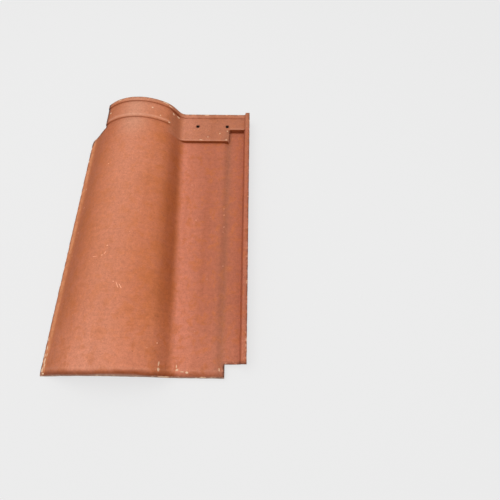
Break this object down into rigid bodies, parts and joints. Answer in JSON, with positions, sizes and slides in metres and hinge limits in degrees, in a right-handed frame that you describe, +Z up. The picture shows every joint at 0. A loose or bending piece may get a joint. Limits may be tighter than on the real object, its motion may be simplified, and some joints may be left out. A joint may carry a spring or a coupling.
{
  "type": "interlocking clay roof tile",
  "caption": "Interlocking roof tile with a tapered roll, a flat pan with nail holes and a batten nib, and an upturned lock strip.",
  "frame": {"origin": "middle of the tile's footprint, on the level that it rests on", "axes": "+X across the tile from the roll to the lock strip, +Y along it from the tail to the head, +Z up"},
  "size_m": [0.27, 0.43, 0.054],
  "materials": {
    "fired_clay": "matt fired terracotta"
  },
  "bodies": {
    "root": {"roof_tile": "fired_clay"}
  },
  "joints": []
}
